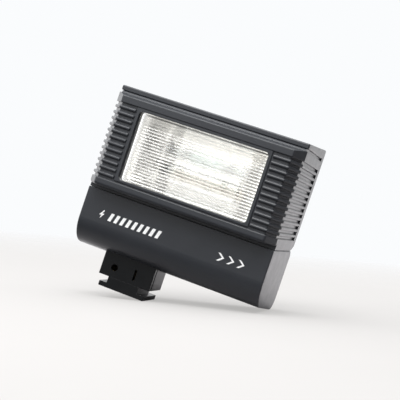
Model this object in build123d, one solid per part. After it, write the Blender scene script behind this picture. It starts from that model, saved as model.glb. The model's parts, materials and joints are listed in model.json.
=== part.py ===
from build123d import *
from math import atan, pi, tan
import os

# Compact electronic flash with an accessory-shoe foot.
# Everything is laid out in the body's own coordinates: x = 0 is the body's middle, y = 0 is the
# front plane of the lower case and y grows to the back, z = 0 is the seam between the lower case
# and the head. On export all parts move so that the origin is the middle of the foot's underside.

# ---- Driving dimensions, mm ----
body_width = 73.5
lid_front_z = 39.35           # the lid rises a little towards the back
lid_back_z = 41.4
case_back = 37.9              # back plane of the lower case
shell_back = 34.3             # where the grooved shell meets the rear cover
cover_back = 39.3             # back plane of the rear cover
wall = 2.0
joint_gap = 0.1               # parting line between two casing pieces
slip = 0.05                   # clearance around a fitted piece

bottom_front_z = -20.94       # height of the case's floor line, continued to the front plane
bottom_back_z = -24.19        # the same line at the back plane
front_curve_r = 10.0
back_curve_r = 5.0
seam_chamfer = 1.8

bezel_depth = 5.52            # how far the window frame stands in front of the body
bezel_front_width = 66.2
bezel_low_z = 1.45
bezel_high_z = 37.3
bezel_back_y = 1.0
flank_start_y = -0.4          # where the bevelled flank meets the side
facet_start_z = 35.4          # the bezel's top slopes back from here to the side groove's height
groove_count = 13
groove_pitch = 2.29
groove_height = 0.98
groove_depth = 0.75
first_groove_z = 32.36        # middle of the highest of the thirteen
side_groove_low_z = 36.55     # the wide groove under the lid, on the sides only
ridge_rounding = 0.6
bar_rounding = 0.3
bottom_bar_rounding = 1.2     # lower edge of the bezel
lip_low_z = 37.45

window_width = 50.2
window_low_z = 5.95
window_high_z = 31.8
window_corner_r = 1.5
ring_half_width = 26.15       # raised ring round the window
ring_low_z = 4.95
ring_setback = 0.25
rib_end_x = 26.7
window_step = 0.35
window_step_depth = 1.35
diffuser_setback = 3.4        # from the bezel's front face to the tips of the diffuser's prisms
diffuser_thickness = 2.0
diffuser_half_width = 26.05
panel_half_width = 24.95      # the diffuser's clear panel inside its rim
diffuser_low_z = 4.85
diffuser_high_z = 32.9
prism_count = 23
prism_depth = 0.3

shoe_x = -14.0                # middle of the foot in the body's coordinates
shoe_y = 13.4
shoe_z = -34.2                # underside of the foot
shoe_width = 18.6             # width of a standard accessory-shoe foot
shoe_length = 14.8
shoe_thickness = 1.8
neck_width = 12.5
neck_top_z = -29.9
block_width = 20.8
block_front_y = 6.0
block_back_y = 20.9
front_plate_thickness = 1.6
plate_rabbet = 0.8            # shadow line between the front plate and the block behind it
block_top_z = -18.0           # the foot's pieces are cut to the case's floor below this height
shoe_screw_r = 1.0            # hole of a screw that holds the shoe plate
contact_hole_r = 1.35
contact_collar_r = 2.25
wire_hole_r = 0.9

cell_r = 7.25                 # AA cell
cell_length = 50.5
cell_z = -10.35
cell_ys = (12.6, 27.3)        # front and back cell
bay_left_x = -25.4            # inner faces of the two end contacts
bay_right_x = 27.0

hinge_y = 36.4                # battery door's pin
hinge_z = -17.0
hinge_pin_r = 0.6
barrel_r = 1.48               # the door's barrel round the pin
barrel_relief_r = 1.55
lug_width = 2.4
pin_overhang = 1.8            # how far the pin reaches into each lug
door_left_x = -27.5
door_right_x = 29.0
door_top_z = -2.35

control_z = 32.6              # middle of the row of rear controls
switch_x = -17.0
switch_travel = 4.0
button_x = 17.0
button_r = 2.5
lamp_x = 0.0
lamp_hole_r = 2.0
track_half_width = 6.5        # shallow track round the switch knob
track_half_height = 2.7
stem_slot_half_width = 3.7
stem_slot_half_height = 1.3
plate_half_width = 26.0       # exposure scale plate
plate_low_z = 3.5
plate_high_z = 25.0
dial_x = 12.0
dial_z = 14.2
dial_r = 9.5
hub_r = 1.5                   # rivet that the dial turns on

half = body_width / 2
inner = half - wall
nose = bezel_front_width / 2
window_z = (window_low_z + window_high_z) / 2
ridge_height = groove_pitch - groove_height
top_bar_low_z = first_groove_z + groove_height / 2
bottom_bar_high_z = first_groove_z - groove_pitch * (groove_count - 1) - groove_height / 2


# ---- Small helpers ----
def block(x0, x1, y0, y1, z0, z1):
    """A box between two corners."""
    return Pos((x0 + x1) / 2, (y0 + y1) / 2, (z0 + z1) / 2) * Box(x1 - x0, y1 - y0, z1 - z0)


def rod_x(x0, x1, y, z, r):
    return Pos((x0 + x1) / 2, y, z) * Rot(0, 90, 0) * Cylinder(r, x1 - x0)


def rod_y(x, y0, y1, z, r):
    return Pos(x, (y0 + y1) / 2, z) * Rot(90, 0, 0) * Cylinder(r, y1 - y0)


def rod_z(x, y, z0, z1, r):
    return Pos(x, y, (z0 + z1) / 2) * Cylinder(r, z1 - z0)


def wire(points, r, bend=1.2):
    """A round wire along straight runs with rounded bends."""
    path = FilletPolyline(*points, radius=bend)
    return sweep(Plane(path @ 0, z_dir=path % 0) * Circle(r), path=path)


def coil(radius, height, turns, wire_r):
    """A helical spring from z = 0 up to z = height, measured over the wire."""
    path = Helix(pitch=(height - 2 * wire_r) / turns, height=height - 2 * wire_r, radius=radius)
    return Pos(0, 0, wire_r) * sweep(Plane(path @ 0, z_dir=path % 0) * Circle(wire_r), path=path)


def side_edges(solid, radius):
    """Round the outlines of the left and right faces of a casing piece."""
    faces = solid.faces().sort_by(Axis.X)
    return fillet(faces[0].edges() + faces[-1].edges(), radius)


def save(name, shape):
    pieces = shape.solids()
    result = pieces[0] if len(pieces) == 1 else Compound(children=list(pieces))
    export_step(Pos(-shoe_x, -shoe_y, -shoe_z) * result, f"parts/{name}.step")


# ---- Lower case ----
def case_prism(inset, half_length, top_z, chamfered=True):
    """The lower case's side outline, inset on all sides and extruded across the body."""
    slope = (bottom_back_z - bottom_front_z) / case_back
    front, back = inset, case_back - inset
    low_front = bottom_front_z + slope * front + inset
    low_back = bottom_front_z + slope * back + inset
    outline = [(front, top_z), (front, low_front), (back, low_back)]
    if chamfered:
        outline += [(back, top_z - seam_chamfer), (back - seam_chamfer, top_z)]
    else:
        outline += [(back, top_z)]
    profile = make_face(Plane.YZ * Polyline(*outline, close=True))
    corners = profile.vertices().sort_by(Axis.Z)
    profile = fillet(corners[0], back_curve_r - inset)
    profile = fillet(
        profile.vertices().filter_by(lambda v: abs(v.Y - front) < 0.01).sort_by(Axis.Z)[0],
        front_curve_r - inset,
    )
    return Pos(-half_length, 0, 0) * extrude(profile, 2 * half_length, dir=(1, 0, 0))


def make_lower_case():
    case = side_edges(case_prism(0, half, 0), 0.45)
    case -= case_prism(wall, inner, 1.0, chamfered=False)
    rim = block(-inner, inner, case_back - 3.9, case_back - wall, -2.2, 0)
    lug_z0, lug_z1 = hinge_z - 1.6, hinge_z + 1.6
    lugs = block(door_left_x - lug_width, door_left_x, 34.4, case_back - 0.5, lug_z0, lug_z1)
    lugs += block(door_right_x, door_right_x + lug_width, 34.4, case_back - 0.5, lug_z0, lug_z1)
    foot_pad = block(shoe_x - 9, shoe_x + 9, 7.5, 20.5, -22.0, -18.9)
    foot_pad &= case_prism(0.5, inner, 0)
    posts = Part()
    for x0, x1 in ((-inner, -29.8), (29.8, inner)):
        posts += block(x0, x1, 1.5, 7.0, -10, 0)
        posts += block(x0, x1, 30.4, 36.2, -10, 0)
    case += rim + lugs + foot_pad + (posts & case_prism(0.5, half - 0.5, 0))
    # door opening, its relief for the hinge barrel, and the pin's seats
    case -= block(door_left_x, door_right_x, 33.0, case_back + 1, hinge_z, door_top_z + slip)
    case -= rod_x(door_left_x, door_right_x, hinge_y, hinge_z, barrel_relief_r)
    case -= block(door_left_x, door_right_x, hinge_y, case_back + 1, hinge_z - barrel_relief_r, hinge_z)
    seat = pin_overhang + slip
    case -= rod_x(door_left_x - seat, door_right_x + seat, hinge_y, hinge_z, hinge_pin_r + 0.02)
    for x, y in case_screw_places():
        case -= rod_z(x, y, -8.2, 1, 1.02)
    for x, y in shoe_screw_places():
        case -= rod_z(x, y, -25, -19.5, 0.92)
    wire_x, wire_y = wire_hole_place()
    case -= rod_z(wire_x, wire_y, -25, -18, wire_hole_r)
    return case


def wire_hole_place():
    """Where the contact's lead runs up from the foot into the case."""
    return shoe_x - 8.0, shoe_y + 4.2


def case_screw_places():
    return [(x, y) for x in (-32.0, 32.0) for y in (4.6, 31.9)]


# ---- Head shell: grooved sides, lid and floor, open to the front and back ----
def lid_z(y):
    """Height of the lid's top surface at depth y."""
    return lid_front_z + (lid_back_z - lid_front_z) * y / cover_back


def under_lid(half_length, y0, y1, low_z, drop=0.0):
    """A block across the body whose top runs parallel to the lid, drop below it."""
    outline = [(y0, low_z), (y1, low_z), (y1, lid_z(y1) - drop), (y0, lid_z(y0) - drop)]
    profile = make_face(Plane.YZ * Polyline(*outline, close=True))
    return Pos(-half_length, 0, 0) * extrude(profile, 2 * half_length, dir=(1, 0, 0))


def bands(low_z):
    """Bottom, top and edge rounding of the bottom bar, of every ridge and of the top bar."""
    result = [(low_z, bottom_bar_high_z, bar_rounding)]
    for index in range(groove_count - 1):
        high_z = first_groove_z - groove_height / 2 - groove_pitch * index
        result.append((high_z - ridge_height, high_z, ridge_rounding))
    result.append((top_bar_low_z, side_groove_low_z, bar_rounding))
    return result


def make_head_shell():
    front_y = bezel_back_y + slip
    side = half - groove_depth
    shell = block(-side, side, front_y, shell_back, joint_gap, lip_low_z)
    for z0, z1, rounding in bands(joint_gap):
        band = block(-half, half, front_y, shell_back, z0, z1)
        shell += fillet(band.edges().filter_by(Axis.Y), rounding)
    lid = under_lid(half, 0, shell_back, lip_low_z)
    front_low, front_high = lid.edges().filter_by(Axis.X).group_by(Axis.Y)[0].sort_by(Axis.Z)
    lid = fillet(front_low, 0.3)
    front_high = lid.edges().filter_by(Axis.X).sort_by(Axis.Z)[-2]
    lid = fillet(front_high, 0.5)
    ridge_lines = [
        edge for edge in lid.edges()
        if abs(edge.center().X) > half - 0.01 and edge.length > 30 and edge.center().Z > lid_front_z
    ]
    shell += fillet(ridge_lines, 0.6)
    shell -= under_lid(inner, -1, shell_back + 1, wall + joint_gap, wall)
    for x, z in cover_screw_places():
        boss = 3.0
        x0, x1 = (x - boss, inner + 0.3) if x > 0 else (-inner - 0.3, x + boss)
        shell += block(x0, x1, 21.0, shell_back, z - boss, z + boss)
        shell -= rod_y(x, 24.2, shell_back + 1, z, 1.02)
    for x, y in board_screw_places():
        shell += rod_z(x, y, 1.5, 3.6, 2.2)
        shell -= rod_z(x, y, 1.2, 3.7, 0.82)
    for x, y in case_screw_places():
        shell -= rod_z(x, y, -1, 3, 1.15)
    shell -= wire_passage(-1, 3)
    return shell


def wire_passage(z0, z1):
    """The opening through which the battery leads rise from the lower case."""
    return block(-33.0, -28.6, 12.0, 22.0, z0, z1)


def cover_screw_places():
    return [(x, z) for x in (-31.0, 31.0) for z in (9.5, 33.6)]


def board_screw_places():
    return [(x, y) for x in (-24.0, 28.0) for y in (5.5, 14.5)]


# ---- Bezel: the ribbed frame around the window ----
def bezel_layer(inset, z0, z1, corner_r=0.6):
    """One level of the bezel, its front and bevelled flanks moved in by inset."""
    flank_angle = atan((half - nose) / (bezel_depth + flank_start_y))
    side_x, front_y = half - inset, inset - bezel_depth
    side_y = flank_start_y + inset * tan(flank_angle / 2)
    nose_x = nose - inset * tan(pi / 4 - flank_angle / 2)
    outline = [
        (-side_x, bezel_back_y), (-side_x, side_y), (-nose_x, front_y),
        (nose_x, front_y), (side_x, side_y), (side_x, bezel_back_y),
    ]
    layer = Pos(0, 0, z0) * extrude(make_face(Polyline(*outline, close=True)), z1 - z0)
    return fillet(layer.edges().filter_by(Axis.Z).group_by(Axis.Y)[0], corner_r)


def rim(solid, test):
    """The edges round a bezel level's front and flanks whose middle passes a test of height."""
    return [
        edge for edge in solid.edges()
        if edge.bounding_box().size.Z < 1.3
        and edge.center().Y < bezel_back_y - 0.01
        and test(edge.center().Z)
    ]


def make_top_bar():
    """The bar over the window; its top slopes back as one plane."""
    bar = bezel_layer(0, top_bar_low_z, side_groove_low_z)
    front = -bezel_depth
    slope = (side_groove_low_z - facet_start_z) / (flank_start_y - front)
    facet = [
        (front - 1, facet_start_z - slope), (flank_start_y, side_groove_low_z),
        (flank_start_y, side_groove_low_z + 1), (front - 1, side_groove_low_z + 1),
    ]
    facet_prism = extrude(make_face(Plane.YZ * Polyline(*facet, close=True)), 2 * body_width, dir=(1, 0, 0))
    bar -= Pos(-body_width, 0, 0) * facet_prism
    bar = fillet(rim(bar, lambda z: z > facet_start_z - 0.1 and z < side_groove_low_z - 0.01), 0.2)
    return fillet(rim(bar, lambda z: z < top_bar_low_z + 0.01), bar_rounding)


def make_bottom_bar():
    bar = bezel_layer(0, bezel_low_z, bottom_bar_high_z, bottom_bar_rounding + 0.1)
    bar = fillet(rim(bar, lambda z: z < bezel_low_z + 0.01), bottom_bar_rounding)
    return fillet(rim(bar, lambda z: z > bottom_bar_high_z - 0.01), bar_rounding)


def make_bezel():
    front = -bezel_depth
    bezel = bezel_layer(groove_depth, bezel_low_z + 0.3, side_groove_low_z - 1.0)
    bezel += make_bottom_bar() + make_top_bar()
    # an upright strip behind the sloping top carries the side groove across under the lid
    strip = block(groove_depth - half, half - groove_depth, flank_start_y, bezel_back_y,
                  facet_start_z, bezel_high_z)
    bezel += chamfer(strip.edges().filter_by(Axis.X).group_by(Axis.Z)[-1].sort_by(Axis.Y)[0], 0.6)
    middle = block(-rib_end_x, rib_end_x, front - 1, bezel_back_y + 1, bezel_low_z, bezel_high_z)
    for z0, z1, rounding in bands(bezel_low_z)[1:-1]:
        ridge = bezel_layer(0, z0, z1, rounding + 0.1)
        bezel += fillet(rim(ridge, lambda z: True), rounding) - middle
    ring = block(-ring_half_width, ring_half_width, front + ring_setback, front + 2,
                 ring_low_z, top_bar_low_z + 0.4)
    bezel += fillet(ring.edges().group_by(Axis.Y)[0], 0.2)
    # hollow from behind: the walls end on the grooved shell
    bezel -= block(-32.0, 32.0, 0.0, bezel_back_y + 1, 3.6, 34.6)
    # the window, narrower behind its left and right steps, and the diffuser's pocket
    height = window_high_z - window_low_z
    mouth = extrude(RectangleRounded(window_width, height, window_corner_r), 2 * bezel_depth)
    throat_width = window_width - 2 * window_step
    throat = extrude(
        RectangleRounded(throat_width, height + 2 * slip, window_corner_r - window_step), 2 * bezel_depth)
    # an extruded outline runs towards the front when it is turned upright
    bezel -= Pos(0, front + window_step_depth, window_z) * Rot(90, 0, 0) * mouth
    bezel -= Pos(0, bezel_back_y + 2, window_z) * Rot(90, 0, 0) * throat
    pocket = diffuser_half_width + slip
    bezel -= block(-pocket, pocket, front + diffuser_setback, bezel_back_y + 1,
                   diffuser_low_z - slip, diffuser_high_z + slip)
    return bezel


def make_diffuser():
    """A clear panel with fine horizontal prisms in front and a deep rim that the reflector presses on."""
    front = -bezel_depth + diffuser_setback
    back = front + diffuser_thickness
    pitch = groove_pitch / 2
    low = window_z - pitch * prism_count / 2
    high = window_z + pitch * prism_count / 2
    outline = [(back, low), (back, high)]
    for index in range(prism_count, 0, -1):
        outline.append((front + prism_depth, low + pitch * index))
        outline.append((front + 0.02, low + pitch * (index - 0.5)))
    outline.append((front + prism_depth, low))
    profile = make_face(Plane.YZ * Polyline(*outline, close=True))
    panel = extrude(profile, 2 * panel_half_width, dir=(1, 0, 0))
    frame = block(-diffuser_half_width, diffuser_half_width, front + prism_depth + 0.3, bezel_back_y,
                  diffuser_low_z, diffuser_high_z)
    frame -= block(-panel_half_width, panel_half_width, front, bezel_back_y + 1, low, high)
    return Pos(-panel_half_width, 0, 0) * panel + frame


# ---- Rear cover ----
def make_rear_cover():
    low_z = 0.35
    cover = under_lid(half, shell_back, cover_back, low_z)
    cover = fillet(cover.edges().filter_by(Axis.X).group_by(Axis.Y)[-1].sort_by(Axis.Z)[-1], 1.0)
    cover = chamfer(cover.edges().filter_by(Axis.X).group_by(Axis.Y)[-1].sort_by(Axis.Z)[0], 1.5, 3.2)
    side_outline = cover.faces().sort_by(Axis.X)
    rounded = [
        edge for face in (side_outline[0], side_outline[-1]) for edge in face.edges()
        if edge.center().Y > shell_back + 0.5
    ]
    cover = fillet(rounded, 0.6)
    back_wall = cover_back - wall
    cover -= under_lid(inner, shell_back - 1, back_wall, wall + low_z, wall)
    for x, z in cover_screw_places():
        cover += rod_y(x, shell_back, back_wall + 0.2, z, 3.0)
        cover -= rod_y(x, shell_back - 1, cover_back + 1, z, 1.15)
        cover -= rod_y(x, cover_back - 1.6, cover_back + 1, z, 2.3)
    # track of the power switch, button hole, lamp hole, plate pocket and rivet hole
    cover -= block(switch_x - track_half_width, switch_x + track_half_width, cover_back - 0.9, cover_back + 1,
                   control_z - track_half_height, control_z + track_half_height)
    cover -= block(switch_x - stem_slot_half_width, switch_x + stem_slot_half_width,
                   shell_back, cover_back + 1,
                   control_z - stem_slot_half_height, control_z + stem_slot_half_height)
    cover -= rod_y(button_x, shell_back, cover_back + 1, control_z, button_r + slip)
    cover -= rod_y(lamp_x, shell_back, cover_back + 1, control_z, lamp_hole_r)
    cover -= block(-plate_half_width - slip, plate_half_width + slip, cover_back - 0.85, cover_back + 1,
                   plate_low_z - slip, plate_high_z + slip)
    cover -= rod_y(dial_x, shell_back, cover_back + 1, dial_z, hub_r + 0.02)
    return cover


def cross_head(x, z, y_back, r, depth):
    """A cross-recessed screw head that faces the back."""
    head = rod_y(x, y_back - depth, y_back, z, r)
    head = fillet(head.edges().group_by(Axis.Y)[-1], depth * 0.35)
    reach, slot = r * 0.62, 0.42 / 2
    floor_y = y_back - depth * 0.55
    recess = block(x - reach, x + reach, floor_y, y_back + 1, z - slot, z + slot)
    recess += block(x - slot, x + slot, floor_y, y_back + 1, z - reach, z + reach)
    return head - recess


def make_cover_screws():
    screws = Part()
    for x, z in cover_screw_places():
        head_back = cover_back - 0.35
        head = cross_head(x, z, head_back, 2.2, 1.2)
        screws += head + rod_y(x, 25.0, head_back - 1.0, z, 1.0)
    return screws


def make_upright_screws(places, head_z, head_r, head_height, shank_r, tip_z):
    """Pan-head screws driven downwards."""
    screws = Part()
    for x, y in places:
        head = rod_z(x, y, head_z, head_z + head_height, head_r)
        head = fillet(head.edges().group_by(Axis.Z)[-1], head_height * 0.35)
        head -= block(x - head_r * 0.7, x + head_r * 0.7, y - 0.25, y + 0.25,
                      head_z + head_height * 0.5, head_z + head_height + 1)
        screws += head + rod_z(x, y, tip_z, head_z + 0.1, shank_r)
    return screws


# ---- Foot ----
def shoe_screw_places():
    return [(shoe_x, shoe_y - 4.0), (shoe_x - 4.6, shoe_y + 4.2), (shoe_x + 4.6, shoe_y + 4.2)]


socket_z = -26.2
socket_r = 1.35
sleeve_r = 1.75
sleeve_back_y = 12.9
sleeve_x = shoe_x - 5.1
blade_x = shoe_x + 3.3


def make_front_plate():
    plate = block(shoe_x - block_width / 2, shoe_x + block_width / 2,
                  block_front_y, block_front_y + front_plate_thickness, neck_top_z, block_top_z)
    plate -= case_prism(-0.02, half, 0)
    plate = fillet(plate.faces().sort_by(Axis.Y)[0].edges().filter_by(Axis.Z), 0.2)
    plate -= rod_y(sleeve_x, 5, 10, socket_z, socket_r)
    plate -= block(blade_x - 0.45, blade_x + 0.45, 5, 10, socket_z - 2.1, socket_z + 2.1)
    return plate


def make_foot_block():
    front = block_front_y + front_plate_thickness + joint_gap
    body = block(shoe_x - block_width / 2, shoe_x + block_width / 2,
                 front + plate_rabbet, block_back_y, neck_top_z, block_top_z)
    body = fillet(body.faces().sort_by(Axis.Y)[-1].edges().filter_by(Axis.Z), 0.8)
    body = fillet(body.faces().sort_by(Axis.Y)[0].edges().filter_by(Axis.Z), 0.15)
    body += block(shoe_x - block_width / 2 + 0.7, shoe_x + block_width / 2 - 0.7,
                  front, front + plate_rabbet + 1, neck_top_z, block_top_z)
    body -= case_prism(-0.02, half, 0)
    body -= rod_y(sleeve_x, front - 1, sleeve_back_y + slip, socket_z, sleeve_r + slip)
    body -= block(blade_x - 0.85, blade_x + 0.85, front - 1, 12.4, socket_z - 2.4, socket_z + 2.4)
    for x, y in shoe_screw_places():
        body -= rod_z(x, y, -40, -10, shoe_screw_r)
    body -= rod_z(shoe_x, shoe_y, -40, spring_top_z + slip, contact_collar_r + 0.1)
    wire_x, wire_y = wire_hole_place()
    body -= rod_z(wire_x, wire_y, -25.5, -10, wire_hole_r)
    return body


def make_shoe_plate():
    neck = block(shoe_x - neck_width / 2, shoe_x + neck_width / 2, block_front_y, block_back_y - 0.2,
                 shoe_z + shoe_thickness - 0.1, neck_top_z - 0.02)
    flange = block(shoe_x - shoe_width / 2, shoe_x + shoe_width / 2,
                   shoe_y - shoe_length / 2, shoe_y + shoe_length / 2, shoe_z, shoe_z + shoe_thickness)
    flange = fillet(flange.edges().filter_by(Axis.Z), 0.3)
    flange = chamfer(flange.edges().group_by(Axis.Z)[0], 0.2)
    plate = neck + flange
    plate -= rod_z(shoe_x, shoe_y, shoe_z - 1, -25, contact_hole_r)
    plate -= rod_z(shoe_x, shoe_y, shoe_z + 1.0, -25, contact_collar_r + 0.1)
    for x, y in shoe_screw_places():
        plate -= rod_z(x, y, shoe_z - 1, -25, shoe_screw_r)
        plate -= Pos(x, y, shoe_z + 0.45) * Cone(1.9, shoe_screw_r, 0.9)
        plate -= rod_z(x, y, shoe_z - 1, shoe_z + 0.01, 1.9)
    return plate


def make_shoe_screws():
    screws = Part()
    for x, y in shoe_screw_places():
        head = Pos(x, y, shoe_z + 0.5) * Cone(1.85, 0.95, 0.9)
        slot = block(x - 1.3, x + 1.3, y - 0.22, y + 0.22, shoe_z - 1, shoe_z + 0.45)
        screws += (head - slot) + rod_z(x, y, shoe_z + 0.9, -19.7, 0.9)
    return screws


contact_collar_z = shoe_z + 1.02
contact_collar_top = contact_collar_z + 0.9
spring_top_z = -26.45


def make_contact_pin():
    tip = rod_z(shoe_x, shoe_y, shoe_z - 0.5, contact_collar_z + 0.1, contact_hole_r - slip)
    tip = fillet(tip.edges().group_by(Axis.Z)[0], 0.45)
    return tip + rod_z(shoe_x, shoe_y, contact_collar_z, contact_collar_top, contact_collar_r)


def make_contact_spring():
    height = spring_top_z - contact_collar_top - 0.06
    return Pos(shoe_x, shoe_y, contact_collar_top + 0.03) * coil(1.85, height, 5, 0.2)


def make_sync_sleeve():
    front = block_front_y + front_plate_thickness + 0.02
    outside = rod_y(sleeve_x, front, sleeve_back_y, socket_z, sleeve_r)
    return outside - rod_y(sleeve_x, front - 1, sleeve_back_y + 1, socket_z, socket_r)


def make_sync_blade():
    """A folded strip whose two leaves grip the cord's flat pin."""
    front = block_front_y + front_plate_thickness + joint_gap
    folded = block(blade_x - 0.75, blade_x + 0.75, front + 0.05, 12.3, socket_z - 2.1, socket_z + 2.1)
    return folded - block(blade_x - 0.4, blade_x + 0.4, front - 1, 11.9, socket_z - 3, socket_z + 3)


# ---- Battery bay ----
def make_battery_door():
    door = block(door_left_x + 0.1, door_right_x - 0.1, case_back - wall, case_back - 0.02,
                 hinge_z, door_top_z)
    door += rod_x(door_left_x + 0.1, door_right_x - 0.1, hinge_y, hinge_z, barrel_r)
    door -= rod_x(door_left_x - 1, door_right_x + 1, hinge_y, hinge_z, hinge_pin_r + slip)
    middle = (door_left_x + door_right_x) / 2
    for index in range(4):
        z = door_top_z - 1.9 - 1.1 * index
        door += block(middle - 7, middle + 7, case_back - 0.5, case_back + 0.3, z - 0.3, z + 0.3)
    return door


def make_door_pin():
    return rod_x(door_left_x - pin_overhang, door_right_x + pin_overhang, hinge_y, hinge_z, hinge_pin_r)


def make_battery_tray():
    left_x, right_x = bay_left_x - 0.45, bay_right_x + 0.45
    tray = block(bay_left_x - 1.5, bay_right_x + 1.5, 4.0, 34.3, -18.75, -3.2)
    tray &= case_prism(wall + 0.1, inner - 0.1, 1.0, chamfered=False)
    tray -= block(left_x, right_x, cell_ys[0], 35.0, cell_z - 4.5, 0)
    tray -= block(left_x, right_x, cell_ys[1], 36.0, cell_z - cell_r - 0.1, 0)
    tray -= block(left_x, right_x, 6.2, cell_ys[0], cell_z, 0)
    for y in cell_ys:
        tray -= rod_x(left_x, right_x, y, cell_z, cell_r + 0.1)
    for x0, x1 in ((left_x, bay_left_x + slip), (bay_right_x - slip, right_x)):
        tray -= block(x0, x1, 6.4, 33.8, -16.7, 0)      # pocket of the contact plate
    return tray


def cell(left_x, y, nub_right):
    """One AA cell lying across the body; its nub is 1 mm long."""
    nub = 1.0
    x0 = left_x if nub_right else left_x + nub
    can = rod_x(x0, x0 + cell_length - nub, y, cell_z, cell_r)
    can = fillet(can.edges(), 0.4)
    if nub_right:
        return can + rod_x(x0 + cell_length - nub - 0.2, left_x + cell_length, y, cell_z, 2.6)
    return can + rod_x(left_x, x0 + 0.2, y, cell_z, 2.6)


def make_cells():
    front_cell = cell(bay_right_x - cell_length, cell_ys[0], True)
    back_cell = cell(bay_left_x, cell_ys[1], False)
    return front_cell + back_cell


def make_contacts():
    thick = 0.35
    left = block(bay_left_x - thick, bay_left_x, 6.6, 33.6, -16.5, -4.0)
    right = block(bay_right_x, bay_right_x + thick, 6.6, 33.6, -16.5, -4.0)
    return left + right


def make_battery_springs():
    gap = (bay_right_x - bay_left_x) - cell_length
    spring = Rot(0, 90, 0) * coil(3.6, gap - 0.06, 2.5, 0.3)
    left = Pos(bay_left_x + 0.03, cell_ys[0], cell_z) * spring
    right = Pos(bay_right_x - gap + 0.03, cell_ys[1], cell_z) * spring
    return left + right


# ---- Light unit ----
reflector_front_y = 1.06
reflector_back_y = 15.0
tube_y = 11.4
tube_r = 2.0
tube_half_length = 18.0


def make_reflector():
    """A sheet trough whose four walls narrow towards the back, with a flange at the front."""
    sheet = 0.4
    depth = reflector_back_y - reflector_front_y

    def flared(wide, high, narrow, low, front, back):
        mouth = Plane((0, front, window_z), x_dir=(1, 0, 0), z_dir=(0, 1, 0)) * Rectangle(wide, high)
        rear = Plane((0, back, window_z), x_dir=(1, 0, 0), z_dir=(0, 1, 0)) * Rectangle(narrow, low)
        return loft([mouth.face(), rear.face()])

    wide, high = 49.6, 26.0         # outside of the trough at its mouth
    narrow, low = 27.0, 8.0         # and at its back
    outside = flared(wide, high, narrow, low, reflector_front_y, reflector_back_y)
    slope_x = (wide - narrow) / depth
    slope_z = (high - low) / depth
    over = 1.0
    hollow = flared(
        wide - 2 * sheet + slope_x * over, high - 2 * sheet + slope_z * over,
        narrow - 2 * sheet + slope_x * sheet, low - 2 * sheet + slope_z * sheet,
        reflector_front_y - over, reflector_back_y - sheet,
    )
    flange = block(-28.0, 28.0, reflector_front_y, reflector_front_y + sheet,
                   window_z - 14.8, window_z + 14.8)
    reflector = (outside + flange) - hollow
    reflector -= rod_x(-30, 30, tube_y, window_z, tube_r + 0.9)
    return reflector


def make_flash_tube():
    gas = tube_half_length - 1.0
    glass = rod_x(-tube_half_length, tube_half_length, tube_y, window_z, tube_r)
    return glass - rod_x(-gas, gas, tube_y, window_z, tube_r - 0.5)


def make_electrodes():
    electrodes = Part()
    for side in (-1, 1):
        x0, x1 = sorted((side * tube_half_length, side * 20.6))
        electrodes += rod_x(x0, x1, tube_y, window_z, 0.5)
    return electrodes


def make_tube_sleeves():
    """Silicone sleeves that hold the tube's ends in the reflector's side holes."""
    sleeves = Part()
    for side in (-1, 1):
        x0, x1 = sorted((side * 16.0, side * 20.0))
        sleeves += rod_x(x0, x1, tube_y, window_z, tube_r + 0.8)
        sleeves -= rod_x(x0, x1, tube_y, window_z, tube_r + 0.02)
    return sleeves


def make_trigger_wire():
    """Two bands round the tube with a straight run along its back."""
    loop_r = tube_r + 0.22
    trigger = rod_x(-13.0, 13.0, tube_y + loop_r, window_z, 0.15)
    for x in (-9.0, 9.0):
        trigger += rod_x(x - 0.3, x + 0.3, tube_y, window_z, loop_r + 0.1) - rod_x(
            x - 0.4, x + 0.4, tube_y, window_z, tube_r + 0.03)
    return trigger


# ---- Circuit ----
board_z = 3.62
board_top = board_z + 1.6


def make_circuit_board():
    board = block(-33.6, 33.6, 3.0, 33.4, board_z, board_top)
    for x, y in board_screw_places():
        board -= rod_z(x, y, 0, 9, 1.0)
    for x, y in case_screw_places():
        board -= rod_z(x, y, 0, 9, 2.6)
    return board - wire_passage(0, 9)


def make_main_capacitor():
    x0, x1, y, z = -27.0, 11.0, 24.4, board_top + 8.3
    can = fillet(rod_x(x0, x1, y, z, 8.2).edges(), 0.8)
    can -= rod_x(x0 + 2.6, x0 + 3.4, y, z, 9.0) - rod_x(x0 + 2.5, x0 + 3.5, y, z, 7.8)
    for pin_z in (z - 2.4, z + 2.4):
        can += rod_x(x1 - 0.2, x1 + 1.6, y, pin_z, 0.4)
    return can


def make_transformer():
    x0, x1, y0, y1 = 14.0, 27.0, 17.5, 29.5
    core = block(x0, x1, y0 + 3, y1 - 3, board_top + 0.02, board_top + 12.5)
    coil_body = block(x0 + 2, x1 - 2, y0, y1, board_top + 2.2, board_top + 10.4)
    return core + fillet(coil_body.edges().filter_by(Axis.X), 2.0)


def make_trigger_coil():
    x, y = 30.5, 10.0
    coil_body = rod_z(x, y, board_top + 0.8, board_top + 9.5, 2.5)
    lower_cheek = rod_z(x, y, board_top + 0.02, board_top + 0.9, 3.0)
    upper_cheek = rod_z(x, y, board_top + 9.4, board_top + 10.4, 3.0)
    return coil_body + lower_cheek + upper_cheek


def make_transistor():
    package = block(14.0, 24.0, 30.2, 32.6, board_top + 3.0, board_top + 12.0)
    tab = block(14.0, 24.0, 31.6, 32.6, board_top + 11.9, board_top + 16.0)
    tab -= rod_y(19, 30, 34, board_top + 14, 1.5)
    legs = Part()
    for x in (16.5, 19.0, 21.5):
        legs += block(x - 0.35, x + 0.35, 31.0, 31.5, board_top + 0.02, board_top + 3.1)
    return package + tab + legs


def make_trigger_capacitor():
    can = block(-33.0, -26.0, 7.6, 11.4, board_top + 1.0, board_top + 8.6)
    can = fillet(can.edges(), 0.7)
    for x in (-32.0, -27.0):
        can += rod_z(x, 9.5, board_top + 0.02, board_top + 1.6, 0.3)
    return can


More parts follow.
